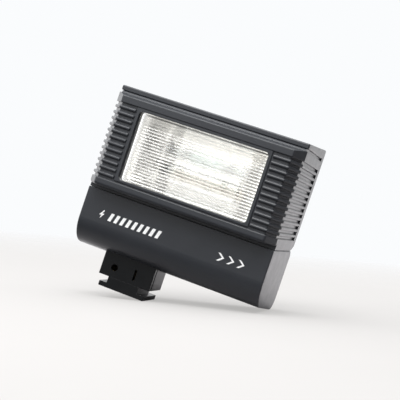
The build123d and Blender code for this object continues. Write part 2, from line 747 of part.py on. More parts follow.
def make_resistors():
    group = Part()
    for y in (8.0, 11.0, 14.0):
        group += fillet(rod_x(-10.0, -5.6, y, board_top + 1.5, 1.1).edges(), 0.4)
    return group


def make_diode():
    return fillet(rod_y(12.0, 6.0, 10.6, board_top + 1.7, 1.3).edges(), 0.3)


def make_lead_wires():
    """Three leads that rise from the battery bay through the wire passage."""
    leads = Part()
    for index, y in enumerate((13.5, 16.5, 19.5)):
        low_z, high_z = -13 + 2 * index, 9.0
        leads += wire([(-28.4, y, low_z), (-31.0, y, low_z), (-31.0, y, high_z), (-29.0, y, high_z)], 0.5)
    return leads


def make_tube_leads():
    leads = Part()
    for side in (-1, 1):
        x = side * 24.0
        points = [(side * 20.65, tube_y, window_z), (x, tube_y, window_z), (x, tube_y, board_top + 0.03)]
        leads += wire(points, 0.4)
    return leads


# ---- Rear controls ----
control_board_y = 31.0


def make_control_board():
    return block(-24.0, 24.0, control_board_y - 1.2, control_board_y, control_z - 6.8, control_z + 5.6)


def make_switch_body():
    body = block(switch_x - 5.5, switch_x + 5.5, control_board_y + 0.02, 35.9,
                 control_z - 2.6, control_z + 2.6)
    return body - block(switch_x - 3.8, switch_x + 3.8, 34.0, 37,
                        control_z - stem_slot_half_height, control_z + stem_slot_half_height)


def make_switch_knob():
    """Shown at OFF, at the left end of its travel as seen from the front."""
    x = switch_x - switch_travel / 2
    cap = block(x - 3.9, x + 3.9, cover_back - 0.85, cover_back + 0.75, control_z - 2.5, control_z + 2.5)
    cap = fillet(cap.edges().filter_by(Axis.Y), 0.6)
    for index in range(-2, 3):
        cap -= block(x + 1.2 * index - 0.25, x + 1.2 * index + 0.25, cover_back + 0.35, cover_back + 2,
                     control_z - 3, control_z + 3)
    stem = block(x - 1.5, x + 1.5, 34.4, cover_back - 0.8, control_z - 1.15, control_z + 1.15)
    return cap + stem


def make_test_button():
    back_wall = cover_back - wall
    button = rod_y(button_x, back_wall - 0.6, cover_back + 1.0, control_z, button_r)
    button = fillet(button.edges().group_by(Axis.Y)[-1], 0.5)
    button += rod_y(button_x, back_wall - 1.0, back_wall - 0.03, control_z, button_r + 0.8)
    return button + rod_y(button_x, 35.7, back_wall - 0.9, control_z, 1.0)


def make_test_contacts():
    board_face, leaf_back = control_board_y + 0.02, 34.8
    post = block(button_x - 4.6, button_x - 3.0, board_face, leaf_back, control_z - 1.5, control_z + 1.5)
    leaf = block(button_x - 4.6, button_x + 2.5, leaf_back - 0.25, leaf_back,
                 control_z - 1.3, control_z + 1.3)
    fixed = block(button_x - 0.8, button_x + 0.8, board_face, 33.6, control_z - 1.0, control_z + 1.0)
    return post + leaf + fixed


def make_neon_lamp():
    bulb = rod_y(lamp_x, control_board_y + 0.6, 36.2, control_z, 1.7)
    bulb = fillet(bulb.edges().group_by(Axis.Y)[-1], 1.2)
    for x in (-0.7, 0.7):
        bulb += rod_y(lamp_x + x, control_board_y + 0.02, control_board_y + 0.8, control_z, 0.25)
    return bulb


def make_ready_lens():
    lens = rod_y(lamp_x, cover_back - wall - 0.6, cover_back + 0.6, control_z, lamp_hole_r - 0.02)
    lens = fillet(lens.edges().group_by(Axis.Y)[-1], 1.2)
    return lens + rod_y(lamp_x, cover_back - wall - 0.62, cover_back - wall - 0.03, control_z, 2.7)


def make_calculator_plate():
    plate = block(-plate_half_width, plate_half_width, cover_back - 0.83, cover_back - 0.08,
                  plate_low_z, plate_high_z)
    return plate - rod_y(dial_x, 30, 42, dial_z, hub_r + 0.02)


def make_calculator_dial():
    dial = rod_y(dial_x, cover_back, cover_back + 1.1, dial_z, dial_r)
    dial = chamfer(dial.edges().group_by(Axis.Y)[-1], 0.3)
    notches = Part()
    notch_count = 36
    for index in range(notch_count):
        notches += Pos(dial_x, cover_back + 0.5, dial_z) * Rot(0, 360 / notch_count * index, 0) * (
            Pos(dial_r + 0.15, 0, 0) * Rot(90, 0, 0) * Cylinder(0.45, 3))
    return dial - notches - rod_y(dial_x, 30, 42, dial_z, hub_r + 0.07)


def make_dial_hub():
    shank = rod_y(dial_x, cover_back - wall - 0.6, cover_back + 1.3, dial_z, hub_r)
    head = rod_y(dial_x, cover_back + 1.17, cover_back + 1.75, dial_z, 2.8)
    head = fillet(head.edges().group_by(Axis.Y)[-1], 0.35)
    return shank + head + rod_y(dial_x, cover_back - wall - 0.65, cover_back - wall - 0.03, dial_z, 2.4)


# ---- Export: one file per node ----
os.makedirs("parts", exist_ok=True)
nodes = {
    "lower_case": make_lower_case,
    "head_shell": make_head_shell,
    "bezel": make_bezel,
    "diffuser": make_diffuser,
    "rear_cover": make_rear_cover,
    "rear_cover_screws": make_cover_screws,
    "case_screws": lambda: make_upright_screws(case_screw_places(), 2.12, 1.8, 1.2, 1.0, -8.0),
    "board_screws": lambda: make_upright_screws(board_screw_places(), board_top + 0.02, 1.7, 1.0, 0.8, 1.3),
    "foot_block": make_foot_block,
    "foot_front_plate": make_front_plate,
    "shoe_plate": make_shoe_plate,
    "shoe_screws": make_shoe_screws,
    "shoe_contact_pin": make_contact_pin,
    "contact_spring": make_contact_spring,
    "sync_socket_sleeve": make_sync_sleeve,
    "sync_socket_blade": make_sync_blade,
    "battery_door": make_battery_door,
    "door_hinge_pin": make_door_pin,
    "battery_tray": make_battery_tray,
    "battery_cells": make_cells,
    "battery_contacts": make_contacts,
    "battery_springs": make_battery_springs,
    "reflector": make_reflector,
    "flash_tube": make_flash_tube,
    "tube_electrodes": make_electrodes,
    "tube_sleeves": make_tube_sleeves,
    "trigger_wire": make_trigger_wire,
    "tube_leads": make_tube_leads,
    "circuit_board": make_circuit_board,
    "main_capacitor": make_main_capacitor,
    "transformer": make_transformer,
    "trigger_coil": make_trigger_coil,
    "power_transistor": make_transistor,
    "trigger_capacitor": make_trigger_capacitor,
    "resistors": make_resistors,
    "rectifier_diode": make_diode,
    "lead_wires": make_lead_wires,
    "control_board": make_control_board,
    "switch_body": make_switch_body,
    "power_switch_knob": make_switch_knob,
    "test_button": make_test_button,
    "test_contacts": make_test_contacts,
    "neon_lamp": make_neon_lamp,
    "ready_lamp_lens": make_ready_lens,
    "calculator_plate": make_calculator_plate,
    "calculator_dial": make_calculator_dial,
    "dial_hub": make_dial_hub,
}
for node_name, maker in nodes.items():
    save(node_name, maker())
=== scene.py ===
import json
import math

import bmesh
import bpy
from mathutils import Matrix, Vector


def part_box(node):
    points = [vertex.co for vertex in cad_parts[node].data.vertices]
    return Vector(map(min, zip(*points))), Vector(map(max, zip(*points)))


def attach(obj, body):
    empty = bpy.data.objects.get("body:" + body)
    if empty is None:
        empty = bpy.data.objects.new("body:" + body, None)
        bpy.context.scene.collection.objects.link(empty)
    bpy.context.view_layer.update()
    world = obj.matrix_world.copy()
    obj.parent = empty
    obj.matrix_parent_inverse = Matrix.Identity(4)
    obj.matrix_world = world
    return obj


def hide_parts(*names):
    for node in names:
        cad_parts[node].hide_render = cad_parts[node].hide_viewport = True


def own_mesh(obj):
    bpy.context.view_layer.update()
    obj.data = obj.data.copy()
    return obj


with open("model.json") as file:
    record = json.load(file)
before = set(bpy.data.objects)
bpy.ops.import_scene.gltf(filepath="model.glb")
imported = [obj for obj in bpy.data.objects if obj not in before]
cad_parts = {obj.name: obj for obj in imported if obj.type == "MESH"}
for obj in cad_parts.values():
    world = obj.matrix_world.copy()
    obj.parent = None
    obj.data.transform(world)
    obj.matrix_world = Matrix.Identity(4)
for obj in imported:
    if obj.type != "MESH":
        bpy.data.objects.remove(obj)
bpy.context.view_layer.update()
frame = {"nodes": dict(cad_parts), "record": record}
NODES = frame["nodes"]
MM = 0.001

# ---- Where the camera stands, in the object's own frame ----
CAMERA_PLACE = Vector((0.1068, -0.3356, 0.0522))
CAMERA_TURN = math.radians(-15.18)        # to the left of the +Y direction
CAMERA_PITCH = math.radians(-1.66)
CAMERA_ROLL = math.radians(18.70)         # the flash leans over to the right in the view
LENS_MM = 83.9
SENSOR_MM = 36.0

# ---- Brightness of the surroundings, as seen by the object ----
FRONT_LEVEL = 0.90
BACK_LEVEL = 1.15
SOFTBOX_LEVEL = 2.5
SIDE_LEVEL = 0.7
FLOOR_COLOUR = (0.64, 0.62, 0.625, 1.0)
FLOOR_SEEN = (0.195, 0.190, 0.187, 1.0)   # the camera sees a darker card ...
FLOOR_GLOW = (0.44, 0.435, 0.427, 1.0)    # ... with a glow that lifts its shadow
BACKDROP_COLOUR = (0.958, 0.972, 0.985, 1.0)
PRISM_MM = 1.145                          # pitch of the prisms across the window
KEY_WATTS = 0.40                          # small soft light over the front of the head
MIDDLE_GLOW = 0.30                        # painted glow of the reflector's middle ...
END_GLOW = 0.135                          # ... and of its end walls
RIM_GLOW = 0.40                           # painted glow of the diffuser's left and right rims

# ---- The window, in mm from its middle, to the right and up ----
# END_SIGHTS: where the prisms get a painted grey reflection of the reflector's end walls
END_SIGHTS = ((-20.7, -13.3, 1.2), (-12.3, -7.8, 0.8), (19.8, 24.4, 0.8))  # from, to, softness
WARM_BAND = ((-5.4, -3.2, 1.8), (-6.0, 19.0, 3.0))    # up, then across: a faint brown reflection
GREEN_BAND = ((1.5, 5.0, 2.0), (-1.0, 7.0, 4.0))      # and a faint green one
RIM_START, RIM_END = 24.2, 24.9                       # where the panel meets its rim with the painted glow

# ---- The reflector, in mm back from its mouth ----
LIP_DEPTH = (1.2, 3.4)
FOLD_DEPTH = (9.1, 9.9)

# ---- An AA cell's jacket, as shares of its length from the flat end ----
FLAT_END, LINE, COPPER_START, BARE_START = 0.018, (0.672, 0.686), 0.702, 0.960

PRINT_MM = 0.03                           # thickness of printed paint


# ---- Shader graphs ----
class Graph:
    """A small wrapper that makes shader nodes and links their sockets."""

    def __init__(self, name):
        self.material = bpy.data.materials.new(name)
        self.material.use_nodes = True
        self.tree = self.material.node_tree
        self.tree.nodes.clear()
        self.output = self.add("ShaderNodeOutputMaterial")

    def add(self, kind, settings=None, **inputs):
        node = self.tree.nodes.new(kind)
        for key, value in (settings or {}).items():
            setattr(node, key, value)
        for key, value in inputs.items():
            self.put(node, key, value)
        return node

    def put(self, node, key, value):
        name = key.replace("_", " ")
        socket = node.inputs[int(key[1:])] if key[1:].isdigit() else node.inputs[name]
        if isinstance(value, bpy.types.NodeSocket):
            self.tree.links.new(value, socket)
        else:
            socket.default_value = value

    def math(self, operation, a, b=0.0):
        return self.add("ShaderNodeMath", {"operation": operation}, i0=a, i1=b).outputs[0]

    def place(self):
        return self.add("ShaderNodeTexCoord").outputs["Object"]

    def noise(self, feature_mm, detail=2.0, roughness=0.5, where=None):
        """Noise whose blobs are about feature_mm wide."""
        node = self.add(
            "ShaderNodeTexNoise", None, Vector=where or self.place(), Scale=1.0 / (feature_mm * MM),
            Detail=detail, Roughness=roughness,
        )
        return node.outputs["Fac"]

    def spread(self, value, low, high, out_low, out_high):
        node = self.add("ShaderNodeMapRange", {"clamp": True}, Value=value)
        node.inputs["From Min"].default_value = low
        node.inputs["From Max"].default_value = high
        node.inputs["To Min"].default_value = out_low
        node.inputs["To Max"].default_value = out_high
        return node.outputs[0]

    def mix(self, factor, a, b):
        node = self.add("ShaderNodeMix", {"data_type": "RGBA"})
        self.put(node, "i0", factor)
        self.put(node, "i6", a)
        self.put(node, "i7", b)
        return node.outputs[2]

    def bump(self, height, depth_mm, normal):
        node = self.add("ShaderNodeBump", None, Height=height, Distance=depth_mm * MM, Strength=1.0)
        self.put(node, "Normal", normal)
        return node.outputs[0]

    def split(self, vector):
        """A vector's X, Y and Z as sockets."""
        return self.add("ShaderNodeSeparateXYZ", None, i0=vector).outputs

    def rounded(self, radius_mm):
        """The normal with edges softened over radius_mm."""
        return self.add("ShaderNodeBevel", {"samples": 4}, Radius=radius_mm * MM).outputs[0]

    def edges(self, rounded_normal):
        """Near 1 on edges and 0 on flat faces."""
        flat = self.add("ShaderNodeNewGeometry").outputs["Normal"]
        dot = self.add("ShaderNodeVectorMath", {"operation": "DOT_PRODUCT"}, i0=rounded_normal, i1=flat)
        return self.spread(dot.outputs["Value"], 0.80, 0.995, 1.0, 0.0)

    def surface(self, **inputs):
        shader = self.add("ShaderNodeBsdfPrincipled", None, **inputs)
        self.tree.links.new(shader.outputs[0], self.output.inputs[0])
        return shader


def rgb(r, g, b):
    return (r, g, b, 1.0)


def scaled(colour, factor):
    return rgb(*[channel * factor for channel in colour[:3]])


def moulded_plastic(name, colour, roughness=0.36, grain_mm=0.28, grain_depth_mm=0.010,
                    edge=1.0, edge_mm=0.14, ior=1.5):
    """Satin moulded plastic: a fine texture, uneven sheen, a little dust and rubbed edges."""
    g = Graph(name)
    soft = g.rounded(edge_mm)
    edges = g.edges(soft)
    cloud = g.noise(9.0, 3.0)
    dust = g.spread(g.noise(0.22, 1.0), 0.72, 0.80, 0.0, 1.0)
    tone = g.mix(cloud, scaled(colour, 0.90), scaled(colour, 1.10))
    worn = g.mix(g.math("MULTIPLY", edges, edge * 0.3), tone, scaled(colour, 2.6))
    dusty = g.mix(g.math("MULTIPLY", dust, 0.05), worn, rgb(0.30, 0.29, 0.27))
    sheen = g.spread(g.noise(5.0, 2.0), 0.3, 0.7, roughness - 0.02, roughness + 0.03)
    rough = g.math("SUBTRACT", sheen, g.math("MULTIPLY", edges, edge * 0.06))
    normal = g.bump(g.noise(grain_mm, 2.0, 0.6), grain_depth_mm, soft)
    g.surface(Base_Color=dusty, Roughness=rough, Normal=normal, IOR=ior)
    return g.material


def metal(name, colour, roughness=0.25, scratch=0.6, painted_shade_z=None):
    """Plated metal with fine scratches and a slightly uneven tone; above a given height it is darkened as
    painted shade.
    """
    g = Graph(name)
    soft = g.rounded(0.08)
    stretch = g.add("ShaderNodeMapping", None, Vector=g.place(), Scale=(1.0, 1.0, 14.0)).outputs[0]
    lines = g.noise(0.9, 5.0, 0.7, where=stretch)
    tone = g.mix(g.noise(1.8, 3.0), scaled(colour, 0.72), scaled(colour, 1.12))
    if painted_shade_z is not None:
        # painted shade: the metal is darker above the given height, where it sits inside
        height = g.split(g.place())["Z"]
        tone = g.mix(g.spread(height, painted_shade_z - 0.002, painted_shade_z, 0.0, 1.0), tone, scaled(colour, 0.3))
    rough = g.spread(lines, 0.3, 0.7, roughness - 0.08, roughness + 0.12)
    normal = g.bump(lines, 0.004 * scratch, soft)
    g.surface(Base_Color=tone, Metallic=1.0, Roughness=rough, Normal=normal)
    return g.material


def window_place(g):
    """Distance in mm to the right of, and above, the middle of the window."""
    low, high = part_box("diffuser")
    axes = g.split(g.place())
    across = g.math("MULTIPLY", g.math("SUBTRACT", axes["X"], (low.x + high.x) / 2), 1 / MM)
    up = g.math("MULTIPLY", g.math("SUBTRACT", axes["Z"], (low.z + high.z) / 2), 1 / MM)
    return across, up


def between(g, value, low, high, soft):
    """1 from low to high, falling to 0 over the distance soft outside them."""
    rise = g.spread(value, low - soft, low, 0.0, 1.0)
    return g.math("MULTIPLY", rise, g.spread(value, high, high + soft, 1.0, 0.0))


def diffuser_plastic(name):
    """Clear acrylic with painted reflections: the lower side of each prism is painted grey where it would
    show the reflector's end walls, faint brown and green bands are painted across it, and its left and
    right rims get a painted glow.
    """
    g = Graph(name)
    across, up = window_place(g)
    haze = g.spread(g.noise(6.0, 3.0), 0.3, 0.7, 0.11, 0.17)
    facing = g.split(g.add("ShaderNodeNewGeometry").outputs["True Normal"])
    under = g.spread(facing["Z"], -0.35, -0.15, 1.0, 0.0)
    # painted reflection: the prisms' lower sides turn grey where they would show the end walls
    ends = 0.0
    for start, stop, soft in END_SIGHTS:
        ends = g.math("MAXIMUM", ends, between(g, across, start, stop, soft))
    uneven = g.spread(g.noise(2.4, 3.0), 0.3, 0.7, 0.55, 1.0)
    shade = g.math("MULTIPLY", g.math("MULTIPLY", ends, uneven), under)
    # painted reflections: a faint brown band and a faint green band
    warm = g.math("MULTIPLY", between(g, up, *WARM_BAND[0]), between(g, across, *WARM_BAND[1]))
    green = g.math("MULTIPLY", between(g, up, *GREEN_BAND[0]), between(g, across, *GREEN_BAND[1]))
    clear = g.mix(warm, rgb(0.98, 0.98, 0.965), rgb(0.95, 0.90, 0.83))
    clear = g.mix(green, clear, rgb(0.91, 0.96, 0.935))
    tone = g.mix(shade, clear, rgb(0.24, 0.235, 0.22))
    # painted glow on the left and right rims, rippled with the prisms
    ripple = g.spread(g.math("SINE", g.math("MULTIPLY", up, 2 * math.pi / PRISM_MM)), -1.0, 1.0, 0.45, 1.0)
    rim = g.spread(g.math("ABSOLUTE", across), RIM_START, RIM_END, 0.0, RIM_GLOW)
    rim = g.math("MULTIPLY", rim, ripple)
    g.surface(
        Base_Color=tone, Roughness=haze, IOR=1.49, Transmission_Weight=1.0,
        Emission_Color=rgb(0.97, 0.97, 1.0), Emission_Strength=rim,
    )
    return g.material


def reflector_metal(name):
    """Bright pressed aluminium with a faint painted glow, which stands in for the studio light it shows
    through the prisms.
    """
    g = Graph(name)
    _, up = window_place(g)
    facing = g.split(g.add("ShaderNodeNewGeometry").outputs["Normal"])
    end = g.spread(g.math("ABSOLUTE", facing["X"]), 0.35, 0.5, 0.0, 1.0)
    depth = g.math("SUBTRACT", g.split(g.place())["Y"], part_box("reflector")[0].y)
    depth = g.math("MULTIPLY", depth, 1 / MM)
    # the painted glow is brighter at the mouth and at one narrow fold of each end wall
    lip = g.spread(depth, *LIP_DEPTH, 4.0, 1.0)
    fold = g.math("ADD", lip, g.math("MULTIPLY", between(g, depth, *FOLD_DEPTH, 0.3), 3.5))
    # painted glow over the middle of the trough, a little dimmer towards its top and bottom
    middle = g.spread(g.math("ABSOLUTE", up), 7.5, 11.5, MIDDLE_GLOW, MIDDLE_GLOW * 0.72)
    at_ends = g.math("MULTIPLY", end, g.math("MULTIPLY", fold, END_GLOW))
    painted_glow = g.math("ADD", at_ends, g.math("MULTIPLY", g.math("SUBTRACT", 1.0, end), middle))
    rough = g.spread(g.noise(6.0, 2.0), 0.3, 0.7, 0.20, 0.28)
    g.surface(
        Base_Color=rgb(0.80, 0.793, 0.775), Metallic=1.0, Roughness=rough,
        Emission_Color=rgb(1.0, 0.99, 0.96), Emission_Strength=painted_glow,
    )
    return g.material


def cell_jacket(name):
    """Two AA cells that lie opposite ways, each with a copper band and bare steel ends."""
    g = Graph(name)
    low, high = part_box("battery_cells")
    axes = g.split(g.place())
    along = g.spread(axes["X"], low.x, high.x, 0.0, 1.0)
    rear = g.math("GREATER_THAN", axes["Y"], (low.y + high.y) / 2)
    front = g.math("SUBTRACT", 1.0, rear)
    turned = g.math("SUBTRACT", 1.0, along)
    place = g.math("ADD", g.math("MULTIPLY", rear, along), g.math("MULTIPLY", front, turned))
    soft = 0.002
    band = g.spread(place, COPPER_START - soft, COPPER_START + soft, 0.0, 1.0)
    line = between(g, place, *LINE, 0.003)
    bare_nub = g.spread(place, BARE_START - soft, BARE_START + soft, 0.0, 1.0)
    bare = g.math("MAXIMUM", bare_nub, g.spread(place, FLAT_END - soft, FLAT_END + soft, 1.0, 0.0))
    scuff = g.spread(g.noise(1.6, 5.0, 0.7), 0.60, 0.72, 0.0, 0.35)
    jacket = g.mix(band, rgb(0.012, 0.013, 0.016), rgb(0.62, 0.27, 0.10))
    jacket = g.mix(line, jacket, rgb(0.75, 0.74, 0.70))
    tone = g.mix(bare, g.mix(scuff, jacket, rgb(0.3, 0.3, 0.3)), rgb(0.66, 0.66, 0.64))
    g.surface(Base_Color=tone, Metallic=g.math("MAXIMUM", bare, g.math("MULTIPLY", band, 0.6)),
              Roughness=g.spread(g.noise(2.0, 4.0), 0.3, 0.7, 0.22, 0.36), Normal=g.rounded(0.1))
    return g.material


def clear_glass(name):
    """Glass with very faint streaks."""
    g = Graph(name)
    streak = g.spread(g.noise(2.0, 2.0), 0.3, 0.7, 0.0, 0.04)
    g.surface(Base_Color=rgb(0.96, 0.98, 0.98), Roughness=streak, IOR=1.46, Transmission_Weight=1.0)
    return g.material


def lens_plastic(name, colour):
    """Half-clear coloured plastic."""
    g = Graph(name)
    rough = g.spread(g.noise(1.5, 3.0), 0.3, 0.7, 0.06, 0.14)
    g.surface(Base_Color=colour, Roughness=rough, IOR=1.49, Transmission_Weight=0.55)
    return g.material


def milky_rubber(name, colour, glow):
    """Soft milky silicone with a faint painted glow, which lightens the shaded hole round the flash tube.
    """
    g = Graph(name)
    tone = g.mix(g.noise(2.0, 3.0), scaled(colour, 0.92), colour)
    rough = g.spread(g.noise(0.8, 3.0), 0.3, 0.7, 0.42, 0.55)
    g.surface(
        Base_Color=tone, Roughness=rough, Normal=g.rounded(0.1),
        Emission_Color=colour, Emission_Strength=glow,
    )
    return g.material


def simple_plastic(name, colour, roughness=0.35):
    return moulded_plastic(name, colour, roughness, grain_mm=0.5, grain_depth_mm=0.008, edge=0.6)


MATERIALS = {
    "case_plastic": moulded_plastic(
        "case_plastic", rgb(0.0235, 0.0258, 0.0305), 0.33, edge=0.5, edge_mm=0.24),
    "foot_plastic": moulded_plastic("foot_plastic", rgb(0.0035, 0.0040, 0.0045), 0.30, edge=2.0, ior=1.33),
    "diffuser_plastic": diffuser_plastic("diffuser_plastic"),
    "inner_plastic": simple_plastic("inner_plastic", rgb(0.05, 0.05, 0.055)),
    "dark_steel": metal("dark_steel", rgb(0.07, 0.07, 0.075), 0.35),
    "plain_steel": metal("plain_steel", rgb(0.60, 0.60, 0.58)),
    # the brass gets painted shade where it sits inside, above 6 mm
    "contact_brass": metal("contact_brass", rgb(0.72, 0.58, 0.32), 0.28, painted_shade_z=0.006),
    "cell_jacket": cell_jacket("cell_jacket"),
    "reflector_sheet": reflector_metal("reflector_sheet"),
    "tube_glass": clear_glass("tube_glass"),
    "silicone": milky_rubber("silicone", rgb(0.88, 0.87, 0.84), 0.12),
    "wire_sleeve": simple_plastic("wire_sleeve", rgb(0.42, 0.03, 0.03), 0.35),
    "board_laminate": simple_plastic("board_laminate", rgb(0.30, 0.20, 0.09), 0.45),
    "capacitor_sleeve": simple_plastic("capacitor_sleeve", rgb(0.02, 0.03, 0.05), 0.25),
    "ferrite_core": simple_plastic("ferrite_core", rgb(0.07, 0.07, 0.075), 0.6),
    "coil_copper": metal("coil_copper", rgb(0.72, 0.36, 0.18), 0.35),
    "component_body": simple_plastic("component_body", rgb(0.52, 0.38, 0.22), 0.3),
    "knob_plastic": moulded_plastic("knob_plastic", rgb(0.16, 0.16, 0.165), 0.4),
    "button_plastic": moulded_plastic("button_plastic", rgb(0.45, 0.45, 0.44), 0.3),
    "lens_plastic": lens_plastic("lens_plastic", rgb(0.95, 0.28, 0.03)),
    "scale_plate": moulded_plastic("scale_plate", rgb(0.017, 0.017, 0.019), 0.26),
    "dial_plastic": moulded_plastic("dial_plastic", rgb(0.05, 0.05, 0.055), 0.38),
    "rivet_metal": metal("rivet_metal", rgb(0.50, 0.50, 0.50), 0.32, scratch=0.3),
}


# ---- Printed marks: thin plates of paint ----
def as_mesh(curve):
    """The mesh of a filled curve or of a text, both of which stay in the local XY plane."""
    holder = bpy.data.objects.new("outline", curve)
    bpy.context.scene.collection.objects.link(holder)
    graph = bpy.context.evaluated_depsgraph_get()
    mesh = bpy.data.meshes.new_from_object(holder.evaluated_get(graph))
    bpy.data.objects.remove(holder)
    return mesh


def shape(*loops):
    """A flat shape bounded by closed loops of points in mm; an inner loop is a hole."""
    curve = bpy.data.curves.new("shape", "CURVE")
    curve.dimensions = "2D"
    curve.fill_mode = "BOTH"
    curve.extrude = PRINT_MM * MM / 2
    for loop in loops:
        spline = curve.splines.new("POLY")
        spline.points.add(len(loop) - 1)
        for point, (x, y) in zip(spline.points, loop):
            point.co = (x * MM, y * MM, 0.0, 1.0)
        spline.use_cyclic_u = True
    return as_mesh(curve)


def number(text, height_mm):
    """A printed number whose digits are height_mm tall."""
    curve = bpy.data.curves.new("number", "FONT")
    curve.body = text
    curve.size = height_mm * MM / 0.7
    curve.extrude = PRINT_MM * MM / 2
    curve.align_x = "CENTER"
    curve.align_y = "CENTER"
    return as_mesh(curve)


def ring_of(radius, count=32):
    angles = [2 * math.pi * i / count for i in range(count)]
    return [(radius * math.cos(angle), radius * math.sin(angle)) for angle in angles]


def bar(x0, x1, y0, y1, lean=0.0):
    return [(x0, y0), (x1, y0), (x1 + lean, y1), (x0 + lean, y1)]


def bolt(height):
    """A lightning bolt, centred, height tall."""
    points = [
        (0.12, 0.5), (-0.28, -0.08), (-0.02, -0.08), (-0.12, -0.5), (0.30, 0.12), (0.03, 0.12), (0.26, 0.5),
    ]
    return [(x * height, y * height) for x, y in points]


class Sheet:
    """Marks printed on one flat side of one body. Right and up are as seen facing that side."""

    def __init__(self, name, body, material, origin, right):
        self.name, self.body, self.material = name, body, material
        right, up = Vector(right), Vector((0, 0, 1))
        self.place = Matrix.Translation(origin) @ Matrix((right, up, right.cross(up))).transposed().to_4x4()
        self.mesh = bmesh.new()

    def put(self, mesh, x=0.0, y=0.0, turn_deg=0.0):
        """Adds a mark at x, y in mm."""
        spot = Matrix.Translation((x * MM, y * MM, 0)) @ Matrix.Rotation(math.radians(turn_deg), 4, "Z")
        mesh.transform(self.place @ spot)
        self.mesh.from_mesh(mesh)
        bpy.data.meshes.remove(mesh)

    def finish(self):
        result = bpy.data.meshes.new(self.name)
        self.mesh.to_mesh(result)
        self.mesh.free()
        result.materials.append(self.material)
        printed = bpy.data.objects.new(self.name, result)
        bpy.context.scene.collection.objects.link(printed)
        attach(printed, self.body)


def paint(name, colour):
    """Screen-printed paint, slightly uneven."""
    g = Graph(name)
    tone = g.mix(g.spread(g.noise(0.5, 4.0), 0.35, 0.65, 0.0, 1.0), scaled(colour, 0.86), colour)
    g.surface(Base_Color=tone, Roughness=0.45)
    return g.material


def print_front(ink):
    """Two plain rows of marks on the lower case: a bolt with leaning bars, and three arrowheads."""
    low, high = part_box("lower_case")
    middle_x = (low.x + high.x) / 2
    sheet = Sheet("front_print", "flash_body", ink, (middle_x, low.y, high.z), (1, 0, 0))
    row_y = -8.5
    sheet.put(shape(bolt(3.3)), -28.4, row_y)
    bar_count, first_bar_x, bar_pitch, bar_width, bar_half, lean = 9, -25.6, 2.4, 1.25, 1.5, 0.9
    for index in range(bar_count):
        x = first_bar_x + bar_pitch * index
        sheet.put(shape(bar(x, x + bar_width, row_y - bar_half, row_y + bar_half, lean)))
    arrow_count, first_arrow_x, arrow_pitch, half, reach, stroke = 3, 18.0, 3.9, 1.45, 1.8, 0.9
    for index in range(arrow_count):
        x = first_arrow_x + arrow_pitch * index
        sheet.put(shape([
            (x, row_y - half), (x + stroke, row_y - half), (x + reach + stroke, row_y),
            (x + stroke, row_y + half), (x, row_y + half), (x + reach, row_y),
        ]))
    sheet.finish()


def print_plate(ink):
    """A numbered table beside the dial, and an index mark that points at it."""
    low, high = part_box("calculator_plate")
    middle = ((low.x + high.x) / 2, high.y, (low.z + high.z) / 2)
    sheet = Sheet("plate_print", "flash_body", ink, middle, (-1, 0, 0))
    rows = (("1", "22"), ("1.5", "16"), ("2", "11"), ("3", "8"), ("4", "5.6"), ("6", "4"))
    left, right, pitch, digit_mm, line_half = 2.2, 24.6, 3.1, 1.45, 0.06
    digit_inset, dash_from, dash_to, dash_half = 4.4, 7.6, 10.4, 0.05
    for index, (near, stop) in enumerate(rows):
        y = pitch * ((len(rows) - 1) / 2 - index)
        sheet.put(number(near, digit_mm), left + digit_inset, y)
        sheet.put(number(stop, digit_mm), right - digit_inset, y)
        for x0, x1 in ((left + dash_from, left + dash_to), (right - dash_to, right - dash_from)):
            sheet.put(shape(bar(x0, x1, y - dash_half, y + dash_half)))
    top = pitch * len(rows) / 2
    for index in range(len(rows) + 1):
        y = top - pitch * index
        sheet.put(shape(bar(left, right, y - line_half, y + line_half)))
    for x in (left, (left + right) / 2, right):
        sheet.put(shape(bar(x - line_half, x + line_half, -top, top)))
    sheet.put(shape([(-1.6, 0.0), (0.6, 0.8), (0.6, -0.8)]), 0.2, 0.0)
    sheet.finish()


def print_dial(ink):
    """Film speeds round the dial's face, with a tick between each pair."""
    low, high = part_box("calculator_dial")
    centre = ((low.x + high.x) / 2, high.y, (low.z + high.z) / 2)
    sheet = Sheet("dial_print", "calculator_dial", ink, centre, (-1, 0, 0))
    speeds = ("25", "50", "100", "200", "400", "800", "1600", "3200")
    step = 360 / len(speeds)
    number_r, long_tick_r, short_tick_r, tick_end_r, ticks_each = 6.0, 7.7, 8.3, 8.9, 4
    for index, speed in enumerate(speeds):
        angle = math.radians(90 - step * index)
        x, y = number_r * math.cos(angle), number_r * math.sin(angle)
        sheet.put(number(speed, 1.25), x, y, -step * index)
        for part in range(ticks_each):
            turn = -step * (index + part / ticks_each)
            start_r = long_tick_r if part == 0 else short_tick_r
            sheet.put(shape(bar(-0.07, 0.07, start_r, tick_end_r)), turn_deg=turn)
    sheet.put(shape(ring_of(4.35, count=64), ring_of(4.2, count=64)))
    sheet.finish()


def print_controls(ink, red):
    """Plain symbols over the switch, the button and round the lamp."""
    cover_low, cover_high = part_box("rear_cover")
    middle_x = (cover_low.x + cover_high.x) / 2
    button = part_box("test_button")
    origin = (middle_x, cover_high.y, (button[0].z + button[1].z) / 2)
    sheet = Sheet("control_print", "flash_body", ink, origin, (-1, 0, 0))

    def along(node):
        low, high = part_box(node)
        return (middle_x - (low.x + high.x) / 2) / MM

    mark_y, dot_r, off_side = 4.2, 0.65, 4.6
    sheet.put(shape(ring_of(dot_r), ring_of(dot_r - 0.2)), along("switch_body") + off_side, mark_y)
    sheet.put(shape(bolt(2.2)), along("test_button"), mark_y + 0.4)
    sheet.put(shape(ring_of(3.4, count=48), ring_of(3.2, count=48)), along("ready_lamp_lens"), 0.0)
    sheet.finish()
    on_mark = Sheet("switch_dot", "flash_body", red, origin, (-1, 0, 0))
    on_mark.put(shape(ring_of(dot_r)), along("switch_body") - off_side, mark_y)
    on_mark.finish()


